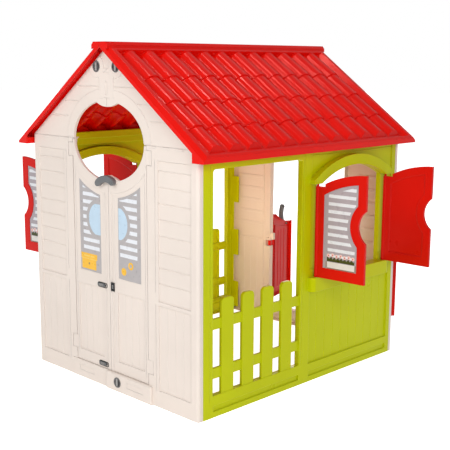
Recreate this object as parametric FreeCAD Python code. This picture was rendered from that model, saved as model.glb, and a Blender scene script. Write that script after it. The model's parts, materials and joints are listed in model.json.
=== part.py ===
import FreeCAD, Part
import math
import os

# Plastic playhouse.  Millimetres, +Z up.  Origin: on the ground at the middle of the front
# threshold, in the outer plane of the front wall.  +X is to the right seen from the front,
# +Y runs into the house.  The right wall turned half a turn about the middle is the left wall.

V = FreeCAD.Vector

# ---- driving dimensions ---------------------------------------------------------------------
HALF_W = 500.0        # outer plane of a side wall, from the middle
DEPTH = 1210.0        # front wall's outer plane to the back wall's
MID_Y = DEPTH / 2
EDGE = 24.0           # depth of a panel's rim
SKIN = 2.6            # moulded wall thickness
CORNER_R = 12.0       # rounding of the house's upright corners
SEAM_Z = 987.0        # lower walls meet the gable here
PITCH = math.radians(35.5)

# roof
EAVE_X = 562.0
EAVE_TOP_Z = 971.0
EAVE_BOTTOM_Z = 947.0
RAKE_OVERHANG = 32.0
ROOF_DROP = 33.0      # from the roof's top plane to the rake's lower edge, measured upright
ROOF_SKIN = 2.8
RIDGE_TOP_Z = 1359.0
RIDGE_HALF = 47.0
TILE_COLUMNS = 6      # in one roof panel
TILE_LINES = (38.0, 166.5, 311.0, 455.5, 610.0)
TILE_RISE = 22.0
TILE_STEP = 6.0
TILE_SKIN = 2.4
TILE_VALLEY = -19.0
TILE_END = 16.0       # how far the lowest humps' ends lean back
VALLEY_HALF = 0.15    # half of a valley, as a share of a tile's width
SHOULDER = 0.28       # height where valley and hump meet, as a share of the rise
FIELD = (24.0, 11.0, 618.0)   # start along the ridge, lower end and upper end up the slope

# doorway and doors
JAMB_X = 227.0
LEAF_X0 = 1.0
LEAF_X1 = 224.0
LEAF_Y0 = 1.0
LEAF_Y1 = 19.0
LEAF_Z0 = 76.0
SILL_TOP = 74.0
OVAL_A = 214.0
OVAL_B = 153.0
BUMP_X = 62.0
BUMP_DIP = 16.0
RING = 40.0
LIP = 10.0            # depth of the edge round the oval opening
HINGE = (239.0, 6.0)
HINGE_X1 = 255.0
PIN_R = 4.0
PIN_HOLE_R = 4.3
HALF_DOOR_Z = (105.0, 531.0)
HALF_DOOR_LOW = 471.0
WALL_KNUCKLE = (410.0, 442.0)
BACK_OPEN = (107.0, 131.0)    # resting angles of the back leaves, latch leaf first

# latch
LATCH_R = 72.0
LATCH_T = 25.0
LATCH_Y = (-23.0, -6.0)
LATCH_PIVOT_X = 44.0
LATCH_CENTRE_DROP = 77.0      # below the leaf's top at the middle
LATCH_TILT = 7.0              # the closed latch slopes down to its cradle
BACK_LATCH_UP = 96.0

# side wall, along its length from the front corner
BAY = (73.0, 560.0)
BAY_Z = (83.0, 917.0)
POST = (560.0, 617.0)
BOARDS = (617.0, 1160.0)
BOARDS_Z = (76.0, 382.0)
WINDOW_MID = 867.0
WINDOW_HALF = 214.0
WINDOW_Z0 = 440.0
ARCH_R = 430.0
ARCH_CZ = 448.0
HOOD_R = 440.0
HOOD_CZ = 480.0
HOOD_HALF = 262.0
HOOD_Z0 = 818.0
PROUD = 28.0
LEDGE_Z0 = 382.0
RING_W = 36.0         # flange round the window on the inside
TOP_RAILS = (926.0, 953.0)    # lower edges of the two inner rails under the roof
BASE_GROOVE = (22.0, 45.0)
PICKETS = 4
PICKET_W = 62.0
PICKET_TOP = 445.0
RAILS = ((146.0, 186.0), (332.0, 372.0))

# shutters, from the hinge axis
SHUTTER_PIVOT = 229.0         # from the window's middle
SHUTTER_AXIS = -15.0          # proud of the wall's outer plane
SHUTTER_W = 226.0
SHUTTER_T = 12.0
SHUTTER_Z = (441.5, 808.0)
SHUTTER_R = 418.0
HINGE_STRIP = 38.0            # level top beside the pivot
NOTCH = (666.0, 78.6, 33.0)   # height, radius and depth of the hand hole
BORDER = 36.0
SHUTTER_OPEN = (86.0, 93.0)   # resting angles of the front and rear shutters

# plugs and bolts
PLUG_R = 21.5
PLUG_X = 58.0
PLUG_Z = 1268.0
SILL_PLUG = (50.0, 40.0)
BOLT_X = (-79.0, -17.0)
BOLT_H = 21.0
BOLT_SLOT = 14.4              # height of the opening in a bolt's surround
BOLT_NECK = (-58.0, -38.0)
BOLT_Z = (417.0, 92.0)
BOLT_TRAVEL = 11.0
KEEPER = (8.0, 28.0, 404.0, 438.0)


# ---- helpers --------------------------------------------------------------------------------
def box(x0, x1, y0, y1, z0, z1):
    return Part.makeBox(x1 - x0, y1 - y0, z1 - z0, V(x0, y0, z0))


def path_face(path):
    """A face in the XZ plane.  An item is a corner (x, z) or an arc (mid x, mid z, end x, end z)."""
    edges = []
    here = path[0]
    for item in path[1:] + [path[0]]:
        end = item[-2:]
        a = V(here[0], 0, here[1])
        b = V(end[0], 0, end[1])
        if len(item) == 4:
            edges.append(Part.Arc(a, V(item[0], 0, item[1]), b).toShape())
        elif a.distanceToPoint(b) > 1e-6:
            edges.append(Part.LineSegment(a, b).toShape())
        here = end
    return Part.Face(Part.Wire(edges))


def slab(face, y0, y1):
    return face.translated(V(0, y0, 0)).extrude(V(0, y1 - y0, 0))


def rect(x0, x1, z0, z1):
    return path_face([(x0, z0), (x1, z0), (x1, z1), (x0, z1)])


def disc(x, z, r):
    return Part.Face(Part.Wire(Part.Circle(V(x, 0, z), V(0, 1, 0), r).toShape()))


def oval_arcs(a, b, t0, t1, count=6):
    """Arcs along an oval about the doorway's middle, as items of a path."""
    at = lambda t: (a * math.cos(t), SEAM_Z + b * math.sin(t))
    step = (t1 - t0) / count
    return [at(t0 + step * (i + 0.5)) + at(t0 + step * (i + 1)) for i in range(count)]


def oval(a, b):
    items = oval_arcs(a, b, 0, 2 * math.pi, 12)
    return path_face([items[-1][-2:]] + items)


def rod_y(x, z, r, y0, y1):
    return Part.makeCylinder(r, y1 - y0, V(x, y0, z), V(0, 1, 0))


def rod_z(x, y, r, z0, z1):
    return Part.makeCylinder(r, z1 - z0, V(x, y, z0))


def stadium(x0, x1, z, h, y0, y1):
    r = h / 2
    return slab(path_face([(x0 + r, z - r), (x1 - r, z - r), (x1, z, x1 - r, z + r),
                           (x0 + r, z + r), (x0, z, x0 + r, z - r)]), y0, y1)


def fuse(shapes):
    return shapes[0].multiFuse(shapes[1:]).removeSplitter()


def cut(shape, tools):
    return shape.cut(Part.makeCompound(tools))


def rim(face, thick, y0, y1):
    inner = face.makeOffset2D(-thick)
    return slab(face, y0, y1).cut(slab(inner, y0 - 1, y1 + 1))


def sink(shape, face, depth, skin, y0=0.0):
    """Presses a recess with this outline into a moulded skin."""
    pan = slab(face.makeOffset2D(skin), y0, y0 + depth + skin)
    return shape.fuse(pan).cut(slab(face, y0 - 1, y0 + depth))


def channel(x0, x1, z0, z1, y0, y1, skin):
    """A bar that is hollow behind."""
    return box(x0, x1, y0, y1, z0, z1).cut(
        box(x0 + skin, x1 - skin, y0 + skin, y1 + 1, z0 + skin, z1 - skin))


def prism(points, length):
    """Extrudes a polygon."""
    return Part.Face(Part.makePolygon(points + [points[0]])).extrude(length)


def level_lines(x0, x1, heights, y):
    """Lap lines of siding: grooves with a sharp upper edge, and ribs to add behind them."""
    grooves = [prism([V(x0, y - 0.5, z), V(x0, y + 2.4, z), V(x0, y - 0.5, z - 7)], V(x1 - x0, 0, 0))
               for z in heights]
    ribs = [box(x0, x1, y + SKIN - 0.5, y + SKIN + 2.0, z - 9, z + 3) for z in heights]
    return grooves, ribs


def board_lines(x0, x1, z0, z1, count, y, wide=5.0):
    """Joints between upright boards: grooves to cut in front and ribs to add behind."""
    pitch = (x1 - x0) / count
    at = [x0 + pitch * i for i in range(1, count)]
    h = wide / 2
    grooves = [prism([V(x - h, y - 0.5, z0), V(x + h, y - 0.5, z0), V(x, y + 2.0, z0)],
                     V(0, 0, z1 - z0)) for x in at]
    ribs = [box(x - 4, x + 4, y + SKIN - 0.5, y + SKIN + 1.6, z0, z1) for x in at]
    return grooves, ribs


def mirror_x(shape):
    return shape.mirror(V(0, 0, 0), V(1, 0, 0))


def to_right(shape):
    return shape.rotated(V(0, 0, 0), V(0, 0, 1), 90).translated(V(HALF_W, 0, 0))


def to_left(shape):
    return half_turn(to_right(shape))


def half_turn(shape):
    return shape.rotated(V(0, MID_Y, 0), V(0, 0, 1), 180)


def roof_z(x):
    """Height of the roof's top plane."""
    return EAVE_TOP_Z + (EAVE_X - x) * math.tan(PITCH)


def under_roof(shape, clear=0.4):
    """Cuts a wall panel off just below the roof's rake."""
    limit = path_face([(0, roof_z(0) - ROOF_DROP - clear),
                       (HALF_W + 60, roof_z(HALF_W + 60) - ROOF_DROP - clear),
                       (HALF_W + 60, 1500), (0, 1500)])
    right = slab(limit, -60, 60)
    return cut(shape, [right, mirror_x(right)])


# ---- front and back walls -------------------------------------------------------------------
def oval_hole(grow=0.0):
    """Outline of the opening: an oval with a dent at the top and at the bottom."""
    a = OVAL_A + grow
    b = OVAL_B + grow
    t = math.acos(BUMP_X / a)
    z = b * math.sin(t)
    path = [(BUMP_X, SEAM_Z + z)] + oval_arcs(a, b, t, -t)
    path.append((0, SEAM_Z - z + BUMP_DIP, -BUMP_X, SEAM_Z - z))
    path += oval_arcs(a, b, math.pi + t, math.pi - t)
    path.append((0, SEAM_Z + z - BUMP_DIP, BUMP_X, SEAM_Z + z))
    return path_face(path)


def gable_panel():
    hole = oval_hole()
    top = roof_z(0) - ROOF_DROP
    foot = (top - SEAM_Z) / math.tan(PITCH)
    outline = path_face([(-foot, SEAM_Z), (foot, SEAM_Z), (0, top)])
    bosses = [rod_y(s * PLUG_X, PLUG_Z, 43, -2.5, 1) for s in (1, -1)]
    strip = box(-43, 43, -2.5, 1, SEAM_Z + OVAL_B + 8, PLUG_Z - 8)
    ring = slab(oval(OVAL_A + RING, OVAL_B + RING + 5), -1.6, 1)
    raised = fuse(bosses + [strip, ring]).common(slab(outline.makeOffset2D(-6), -5, 5))
    laps, lap_ribs = gable_laps()
    panel = fuse([slab(outline, 0, SKIN), rim(outline, SKIN, 0, EDGE)] + lap_ribs)
    panel = fuse([cut(panel, laps), raised])
    lip = slab(oval_hole(SKIN), 0, LIP).common(slab(outline, -1, EDGE + 1))
    panel = cut(panel.fuse(lip), [slab(hole, -5, EDGE + 5)])
    cups = [rod_y(s * PLUG_X, PLUG_Z, PLUG_R + 4, 0, 20) for s in (1, -1)]
    holes = [rod_y(s * PLUG_X, PLUG_Z, PLUG_R + 0.2, -5, 16) for s in (1, -1)]
    seam = box(-HALF_W - 1, HALF_W + 1, -3, 1.2, SEAM_Z - 1, SEAM_Z + 1.8)
    panel = cut(panel.fuse(cups), holes + gable_marks() + [seam])
    return under_roof(panel)


def gable_laps():
    grooves = []
    ribs = []
    for z, inner, outer in ((1076, 248, 352), (1135, 178, 268), (1194, 46, 186)):
        for x0, x1 in ((inner, outer), (-outer, -inner)):
            groove, rib = level_lines(x0, x1, [z], 0)
            grooves += groove
            ribs += rib
    return grooves, ribs


def gable_marks():
    """The keyhole slots in the middle strip and the ledges between them."""
    marks = [stadium_upright(0, 1280, 13, 50), stadium_upright(0, 1188, 15, 52)]
    for z in (1246, 1150):
        marks.append(box(-14, 14, -3, -0.8, z - 2, z + 2))
    marks.append(box(-1, 1, -3, 1.0, 1100, 1150))
    return marks


def stadium_upright(x, z, w, h):
    r = w / 2
    return slab(path_face([(x - r, z - h / 2 + r), (x, z - h / 2, x + r, z - h / 2 + r),
                           (x + r, z + h / 2 - r), (x, z + h / 2, x - r, z + h / 2 - r)]), -4, -0.6)


def hinge_zone(panel, z0, z1):
    """Solid hinge blocks round a pocket for the leaf's knuckle."""
    block = box(JAMB_X, HINGE_X1 + SKIN, 0, EDGE, z0 - 16, z1 + 12)
    pocket = box(JAMB_X - 1, HINGE_X1, -20, EDGE + 5, z0 - 0.8, z1 + 0.8)
    bore = rod_z(HINGE[0], HINGE[1], PIN_R + 0.02, z0 - 14, z1 + 10)
    return cut(panel.fuse(block), [pocket, bore])


def round_corner(wall):
    """Swaps the wall's square outer corner for a round one of the same thickness."""
    c = HALF_W - CORNER_R
    full = rod_z(c, CORNER_R, CORNER_R, 0, SEAM_Z)
    hollow = rod_z(c, CORNER_R, CORNER_R - SKIN, SKIN, SEAM_Z - SKIN)
    corner = box(c, HALF_W + 1, -1, CORNER_R, -1, SEAM_Z + 1)
    return wall.cut(corner).fuse(full.cut(hollow).common(corner))


def lower_wall(knuckles, proud, seam):
    """Wall to the right of the doorway with its half of the sill, which stands proud."""
    x0, x1 = 287.0, 463.0
    outline = rect(JAMB_X, HALF_W, 0, SEAM_Z)
    wall = round_corner(fuse([slab(outline, 0, SKIN), rim(outline, SKIN, 0, EDGE)]))
    wall = sink(wall, rect(x0, x1, 412, 936), 4, SKIN)
    wall = sink(wall, rect(x0, x1, 66, 398), 4, SKIN)
    laps, lap_ribs = level_lines(x0, x1, [901 - 59.7 * i for i in range(8)], 4)
    joints, joint_ribs = board_lines(x0, x1, 66, 398, 4, 4)
    clips = [box(x - 16, x + 16, -1.2, 1, SEAM_Z - 9, SEAM_Z - 0.4) for x in (264, 334, 408)]
    line = box(270, 272.6, -1, 1.2, 60, 400).fuse(box(270, 272.6, -1, 1.2, 446, 940))
    wall = cut(wall.multiFuse(lap_ribs + joint_ribs + clips), laps + joints + [line])
    for z0, z1 in knuckles:
        wall = hinge_zone(wall, z0, z1)
    return under_roof(wall.multiFuse([half_sill(proud, seam)]).removeSplitter())


def half_sill(proud, seam):
    sill = box(seam, JAMB_X + 24, -proud, SKIN, 0, SILL_TOP)
    front = [e for e in sill.Edges if abs(e.Vertexes[0].Y + proud) < 0.1
             and abs(e.Vertexes[1].Y + proud) < 0.1 and e.CenterOfMass.x > seam + 1]
    sill = sill.makeFillet(min(6.0, proud - 0.6), front)
    body = sill.fuse(box(seam, JAMB_X, 0, EDGE, 0, SILL_TOP))
    hollow = box(seam + SKIN, JAMB_X - SKIN, SKIN - proud, EDGE + 1, SKIN, SILL_TOP - SKIN)
    body = body.cut(hollow)
    panel = box(108, 206, -proud - 1, 1.6 - proud, 30, 54)
    return body.cut(panel)


def front_right_wall(knuckles):
    wall = lower_wall(knuckles, 12.0, -20.0)
    x, z = SILL_PLUG
    cup = rod_y(x, z, PLUG_R + 3, SKIN - 12.5, 8)
    return wall.fuse(cup).cut(rod_y(x, z, PLUG_R - 1.0, -20, 4)).removeSplitter()


def front_left_wall(knuckles):
    wall = lower_wall(knuckles, 4.0, 20.6)
    return mirror_x(wall)


def wall_knuckle(wall):
    """Outstanding hinge block above the low door's upper knuckle."""
    z0, z1 = WALL_KNUCKLE
    block = box(JAMB_X - 15, JAMB_X + 4, LEAF_Y0, 15, z0, z1)
    return wall.fuse(block).removeSplitter()


def knuckle_heights(front):
    if front:
        return ((120.0, 174.0), (915.0, 969.0))
    return ((118.0, 160.0), (378.0, 405.0))


# ---- door leaves ----------------------------------------------------------------------------
def leaf_knuckles(leaf, heights):
    for z0, z1 in heights:
        leaf = leaf.fuse(box(LEAF_X1 - 4, HINGE_X1 - 2, LEAF_Y0, 15, z0, z1))
        leaf = leaf.cut(rod_z(HINGE[0], HINGE[1], PIN_HOLE_R, z0 - 1, z1 + 1))
    return leaf


def sticker_field(inset):
    area = slab(rect(54 + inset, 188 - inset, 460 + inset, 900), -30, 30)
    return area.cut(slab(oval(272 + inset, 216 + inset), -31, 31))


def tall_leaf():
    """Right-hand front leaf: tray with an oval top corner, sticker field and boarded panel."""
    outline = rect(LEAF_X0, LEAF_X1, LEAF_Z0, SEAM_Z - 2)
    hole = oval_hole()
    plate = slab(outline, LEAF_Y0, LEAF_Y0 + SKIN).fuse(rim(outline, SKIN, LEAF_Y0, LEAF_Y1))
    ring = slab(oval(OVAL_A + RING, OVAL_B + RING + 5), LEAF_Y0 - 1.6, LEAF_Y0 + 1)
    ring = ring.common(slab(rect(LEAF_X0, LEAF_X1 - 4, LEAF_Z0, SEAM_Z - 2), -5, 5))
    lip = slab(oval_hole(SKIN), LEAF_Y0, LEAF_Y0 + LIP).common(slab(outline, -5, 30))
    beads = [box(LEAF_X0, 15, LEAF_Y0 - 2, LEAF_Y0 + 1, LEAF_Z0, 850),
             box(24, 34, LEAF_Y0 - 1.2, LEAF_Y0 + 1, 110, 836)]
    leaf = fuse([plate, ring, lip] + beads)
    leaf = cut(leaf, [slab(hole, -20, 40)])
    leaf = leaf.cut(sticker_field(0).common(box(0, 300, -5, LEAF_Y0 + 1.2, 0, 1000)))
    leaf = sink(leaf, rect(46, 204, 120, 402), 4, SKIN, LEAF_Y0)
    joints, ribs = board_lines(46, 204, 120, 402, 4, LEAF_Y0 + 4)
    frame = [box(212, 214.4, -1, LEAF_Y0 + 1.2, 100, 880)]
    leaf = cut(leaf.multiFuse(ribs), joints + frame)
    return leaf_knuckles(leaf, knuckle_heights(True))


def front_leaf(latch_side):
    leaf = tall_leaf()
    upper = BOLT_Z[0]
    for z in BOLT_Z:
        leaf = leaf.cut(box(-1, 8, 6, 11, z - 8, z + 8))
    if latch_side:
        x0, x1, z0, z1 = KEEPER
        leaf = leaf.cut(box(x0 - 1, x1 + 10, -5, LEAF_Y0, z0 - 4, z1 + 4))
    else:
        leaf = leaf.cut(box(16, 82, -5, LEAF_Y0, upper - 16, upper + 16))
        for z in BOLT_Z:
            slot = box(-BOLT_NECK[1] - BOLT_TRAVEL - 1, -BOLT_NECK[0] + 1, -5, 6, z - 5, z + 5)
            leaf = leaf.cut(slot)
    top = SEAM_Z - OVAL_B + 22
    leaf = leaf_catch(leaf, latch_side, top, 2 * LATCH_PIVOT_X * math.sin(math.radians(LATCH_TILT)))
    return leaf if latch_side else mirror_x(leaf)


def leaf_catch(leaf, latch_side, top, drop=0.0):
    """The latch's standing boss and pin hole, or the cradle for the latch's peg."""
    z = latch_pivot_z(top)
    if latch_side:
        boss = rod_y(LATCH_PIVOT_X, z, 10, LATCH_Y[1] + 0.4, LEAF_Y0 + 1)
        return leaf.fuse(boss).cut(rod_y(LATCH_PIVOT_X, z, 4.0, -30, 12))
    z = z - drop
    cradle = rod_y(LATCH_PIVOT_X, z, 11, LATCH_Y[1] + 1.5, LEAF_Y0 + 1)
    cradle = cradle.cut(rod_y(LATCH_PIVOT_X, z, 7.6, -30, LEAF_Y0))
    cradle = cradle.cut(box(LATCH_PIVOT_X - 20, LATCH_PIVOT_X + 20, -30, LEAF_Y0, z, z + 30))
    return leaf.fuse(cradle)


def half_leaf(latch_side):
    """Right-hand leaf of the low back doors."""
    z0, z1 = HALF_DOOR_Z
    r = 362.0
    x1 = 196.0
    rise = r - math.sqrt(r * r - x1 * x1)
    mid_rise = r - math.sqrt(r * r - (x1 / 2) ** 2)
    outline = path_face([(LEAF_X0, z0), (LEAF_X1, z0), (LEAF_X1, z1), (x1, z1),
                         (x1, HALF_DOOR_LOW + rise),
                         (x1 / 2, HALF_DOOR_LOW + mid_rise, LEAF_X0, HALF_DOOR_LOW)])
    inner = path_face([(40, z0 + 40), (LEAF_X1 - 38, z0 + 40), (LEAF_X1 - 38, 470),
                       (110, 452, 40, 442)])
    leaf = fuse([slab(outline, LEAF_Y0, LEAF_Y0 + SKIN), rim(outline, SKIN, LEAF_Y0, LEAF_Y1)])
    leaf = sink(leaf, inner, 6, SKIN, LEAF_Y0)
    joints, ribs = board_lines(42, LEAF_X1 - 40, z0 + 42, 440, 4, LEAF_Y0 + 6)
    notch = box(208, LEAF_X1 + 1, -5, 30, WALL_KNUCKLE[0] - 3, WALL_KNUCKLE[1] + 3)
    leaf = cut(leaf.multiFuse(ribs), joints + [notch])
    leaf = leaf_knuckles(leaf, knuckle_heights(False))
    leaf = leaf_catch(leaf, latch_side, HALF_DOOR_LOW + 8)
    return leaf if latch_side else mirror_x(leaf)


def door_pins(heights):
    return [rod_z(HINGE[0], HINGE[1], PIN_R, z0 - 13, z1 + 9) for z0, z1 in heights]


# ---- latch and bolts ------------------------------------------------------------------------
def latch_pivot_z(top):
    return top - LATCH_CENTRE_DROP + math.sqrt(LATCH_R ** 2 - LATCH_PIVOT_X ** 2)


def arc_latch(top):
    """Bow-shaped latch: it pivots at its right end, and its peg drops in a cradle at the left."""
    zc = top - LATCH_CENTRE_DROP
    zp = latch_pivot_z(top)
    r0 = LATCH_R - LATCH_T / 2
    r1 = LATCH_R + LATCH_T / 2
    a = math.acos(LATCH_PIVOT_X / LATCH_R)
    ca, sa = math.cos(a), math.sin(a)
    bow = path_face([(r0 * ca, zc + r0 * sa), (0, zc + r0, -r0 * ca, zc + r0 * sa),
                     (-r1 * ca, zc + r1 * sa), (0, zc + r1, r1 * ca, zc + r1 * sa)])
    ends = [rod_y(s * LATCH_PIVOT_X, zp, LATCH_T / 2, LATCH_Y[0], LATCH_Y[1]) for s in (1, -1)]
    body = fuse([slab(bow, LATCH_Y[0], LATCH_Y[1])] + ends)
    bore = rod_y(LATCH_PIVOT_X, zp, 4.3, LATCH_Y[0] - 1, LATCH_Y[1] + 1)
    seat = rod_y(LATCH_PIVOT_X, zp, 7.4, LATCH_Y[0] - 1, LATCH_Y[0] + 3.4)
    socket = rod_y(-LATCH_PIVOT_X, zp, 5.0, LATCH_Y[1] - 5, LATCH_Y[1] + 1)
    return cut(body, [bore, seat, socket])


def latch_peg(top):
    return rod_y(-LATCH_PIVOT_X, latch_pivot_z(top), 5.0, LATCH_Y[1] - 5, LEAF_Y0 - 2.2)


def latch_screw(top):
    z = latch_pivot_z(top)
    head = rod_y(LATCH_PIVOT_X, z, 7.0, LATCH_Y[0] + 0.4, LATCH_Y[0] + 3.0)
    slot = box(LATCH_PIVOT_X - 8, LATCH_PIVOT_X + 8, -40, LATCH_Y[0] + 1.6, z - 0.9, z + 0.9)
    return head.fuse(rod_y(LATCH_PIVOT_X, z, 3.98, LATCH_Y[0] + 2.5, 11)).cut(slot)


def bolt_plate(z):
    """Oval surround of a sliding bolt, on the left leaf."""
    x0, x1 = BOLT_X
    plate = stadium(x0, x1, z, BOLT_H, LEAF_Y0 - 2.5, LEAF_Y0)
    return plate.cut(stadium(x0 + 3, x1 - 2.5, z, BOLT_SLOT, -10, 10))


def bolt_slider(z):
    """Ribbed thumb piece with the tongue behind the door skin."""
    x0 = BOLT_X[0] + 3.8
    x1 = BOLT_X[1] - 3.3 - BOLT_TRAVEL
    n0, n1 = BOLT_NECK
    knob = stadium(x0, x1, z, BOLT_SLOT - 1.2, LEAF_Y0 - 5.0, LEAF_Y0 - 0.3)
    ribs = [box(x0 + 8 + 4.8 * i, x0 + 10.2 + 4.8 * i, -8, LEAF_Y0 - 3.6, z - 9, z + 9) for i in range(6)]
    knob = cut(knob, ribs)
    neck = box(n0, n1, LEAF_Y0 - 0.5, 7, z - 4, z + 4)
    tongue = box(n0 - 14, -3.0, 6.6, 10.0, z - 6.5, z + 6.5)
    return fuse([knob, neck, tongue])


def keeper():
    """Framed striker for the upper bolt, on the right leaf."""
    x0, x1, z0, z1 = KEEPER
    plate = box(x0, x1, LEAF_Y0 - 4.0, LEAF_Y0, z0, z1)
    window = box(x0 + 4.5, x1 - 4.5, -10, LEAF_Y0 - 2.4, z0 + 4.5, z1 - 4.5)
    bars = [box(x0 + 3, x1 - 3, LEAF_Y0 - 3.2, LEAF_Y0 - 2, z - 1.2, z + 1.2)
            for z in (z0 + 12, (z0 + z1) / 2, z1 - 12)]
    return plate.cut(window).multiFuse(bars).removeSplitter()


def plug(x, z, y0, length, r=PLUG_R):
    """Big plastic screw: dished head with an upright thumb bar."""
    body = rod_y(x, z, r, y0, y0 + length)
    dish = rod_y(x, z, r - 3.5, y0 - 1, y0 + 6)
    bar = box(x - 4, x + 4, y0 + 1, y0 + 7, z - r + 2, z + r - 2)
    return body.cut(dish).fuse(bar).common(body).removeSplitter()


# ---- side wall, built lying in the XZ plane with its outer face at y = 0 --------------------
def arch_face(grow=0.0, z0=WINDOW_Z0, half=WINDOW_HALF):
    """The window's outline, widened by grow."""
    half = half + grow
    z0 = z0 - grow
    r = ARCH_R + grow
    zs = ARCH_CZ + math.sqrt(r * r - half * half)
    return path_face([(WINDOW_MID - half, z0), (WINDOW_MID + half, z0), (WINDOW_MID + half, zs),
                      (WINDOW_MID, ARCH_CZ + r, WINDOW_MID - half, zs)])


def hood():
    """Arched moulding over the window, hollow behind, solid at the shutter sockets."""
    area = slab(disc(WINDOW_MID, HOOD_CZ, HOOD_R), -PROUD, 0)
    area = area.common(box(WINDOW_MID - HOOD_HALF, WINDOW_MID + HOOD_HALF, -PROUD, 0, HOOD_Z0, 1000))
    band = area.cut(slab(disc(WINDOW_MID, ARCH_CZ, ARCH_R), -PROUD - 1, 1))
    core = slab(disc(WINDOW_MID, HOOD_CZ, HOOD_R - SKIN), SKIN - PROUD, 30)
    core = core.cut(slab(disc(WINDOW_MID, ARCH_CZ, ARCH_R + SKIN), -PROUD - 1, 31))
    core = core.common(box(WINDOW_MID - 190, WINDOW_MID + 190, -PROUD, 30, HOOD_Z0, 1000))
    return band, core


def ledge():
    """Window sill with rounded ends."""
    x0 = WINDOW_MID - HOOD_HALF
    x1 = WINDOW_MID + HOOD_HALF
    body = box(x0, x1, -PROUD, 0, LEDGE_Z0, WINDOW_Z0)
    ends = [e for e in body.Edges if abs(e.Length - (WINDOW_Z0 - LEDGE_Z0)) < 0.1
            and abs(e.Vertexes[0].Y + PROUD) < 0.1]
    body = body.makeFillet(20.0, ends)
    core = box(x0 + 62, x1 - 62, SKIN - PROUD, 30, LEDGE_Z0 + SKIN, WINDOW_Z0 - SKIN)
    return body, core


def shutter_sockets():
    tools = []
    for s in (1, -1):
        x = WINDOW_MID + s * SHUTTER_PIVOT
        tools.append(rod_z(x, SHUTTER_AXIS, 5.3, WINDOW_Z0 - 14, WINDOW_Z0 + 2))
        tools.append(rod_z(x, SHUTTER_AXIS, 5.3, HOOD_Z0 - 2, HOOD_Z0 + 16))
    return tools


def picket(x):
    r = 18.0
    w = PICKET_W / 2
    k = r * (1 - math.sqrt(0.5))
    z0 = BAY_Z[0] - 10
    face = path_face([(x - w, z0), (x + w, z0), (x + w, PICKET_TOP - r),
                      (x + w - k, PICKET_TOP - k, x + w - r, PICKET_TOP),
                      (x - w + r, PICKET_TOP),
                      (x - w + k, PICKET_TOP - k, x - w, PICKET_TOP - r)])
    return slab(face, 2, 15).cut(slab(face.makeOffset2D(-4), 6, 16))


def fence():
    gap = (BAY[1] - BAY[0] - PICKETS * PICKET_W) / (PICKETS + 1)
    bars = [picket(BAY[0] + gap + PICKET_W / 2 + (PICKET_W + gap) * i) for i in range(PICKETS)]
    for z0, z1 in RAILS:
        bars.append(channel(BAY[0] - 2, BAY[1] + 2, z0, z1, 7, 18, 4))
    return bars


def corner_tabs():
    """Tongues that hold the front and back walls, three at each end."""
    tabs = []
    for z in (89.0, 365.0, 641.0):
        for x0 in (EDGE + 0.4, DEPTH - EDGE - 6.4):
            tabs.append(box(x0, x0 + 6, EDGE - 3, EDGE + 34, z - 67, z + 67))
    return tabs


def side_wall():
    x0, x1 = EDGE + 0.3, DEPTH - EDGE - 0.3
    top = roof_z(HALF_W) - ROOF_DROP - 0.6
    outline = rect(x0, x1, 0, top)
    bay = rounded_rect(BAY[0], BAY[1], BAY_Z[0], BAY_Z[1], 12)
    wall = fuse([slab(outline, 0, SKIN), rim(outline, SKIN, 0, EDGE),
                 rim(bay.makeOffset2D(SKIN), SKIN, 0, EDGE),
                 slab(arch_face(SKIN), 0, EDGE)])
    wall = wall.cut(slab(bay, -1, EDGE + 1))
    wall = wall.multiFuse(fence())
    wall = sink(wall, rect(BOARDS[0], BOARDS[1], BOARDS_Z[0], BOARDS_Z[1] + 40), 7, SKIN)
    joints, ribs = board_lines(BOARDS[0], BOARDS[1], BOARDS_Z[0], BOARDS_Z[1] + 30, 10, 7, 4.0)
    wall = cut(wall.multiFuse(ribs), joints)
    wall = sink(wall, upper_recess(), 4, SKIN)
    for u0, u1 in (BAY, BOARDS):
        wall = sink(wall, rect(u0 + 3, u1 - 3, BASE_GROOVE[0], BASE_GROOVE[1]), 6, SKIN)
    hood_band, hood_core = hood()
    ledge_body, ledge_core = ledge()
    backing = slab(rect(WINDOW_MID - HOOD_HALF, WINDOW_MID + HOOD_HALF, LEDGE_Z0, WINDOW_Z0), -1, 8)
    wall = wall.multiFuse([hood_band, ledge_body, backing] + corner_tabs())
    tools = [slab(arch_face(), -PROUD - 5, EDGE + 5), hood_core, ledge_core] + shutter_sockets()
    wall = cut(wall, tools + post_lines())
    return cut(wall.multiFuse(window_flange() + top_rails(x0, x1, top)), flange_marks()).removeSplitter()


def window_flange():
    """Hollow band that frames the window on the inside."""
    opening = slab(arch_face(), 0, EDGE + 1)
    plate = slab(arch_face(RING_W), EDGE - SKIN, EDGE).cut(opening)
    edge = slab(arch_face(RING_W), SKIN - 0.2, EDGE).cut(slab(arch_face(RING_W - SKIN), 0, EDGE + 1))
    return [plate, edge]


def flange_marks():
    """Joints and drain holes of the window's inner flange."""
    marks = [box(WINDOW_MID + s * 110 - 1.5, WINDOW_MID + s * 110 + 1.5, EDGE - 1.2, EDGE + 1, 840, 920)
             for s in (1, -1)]
    return marks + [rod_y(WINDOW_MID + s * (WINDOW_HALF + 18), 500, 4, EDGE - SKIN - 1, EDGE + 1)
                    for s in (1, -1)]


def top_rails(x0, x1, top):
    """Two stepped rails along the top of the inner side, open at their ends."""
    lower, upper = TOP_RAILS
    a = x0 + 12
    b = x1 - 12
    return [box(a, b, EDGE - SKIN, EDGE, upper, top - 1), box(a, b, SKIN - 0.2, EDGE, upper, upper + SKIN),
            box(a, b, 14, 14 + SKIN, lower, upper + 1), box(a, b, SKIN - 0.2, 14 + SKIN, lower, lower + SKIN)]


def upper_recess():
    """Shallow field beside and above the window."""
    return rect(BOARDS[0], BOARDS[1], 470, 938)


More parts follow.
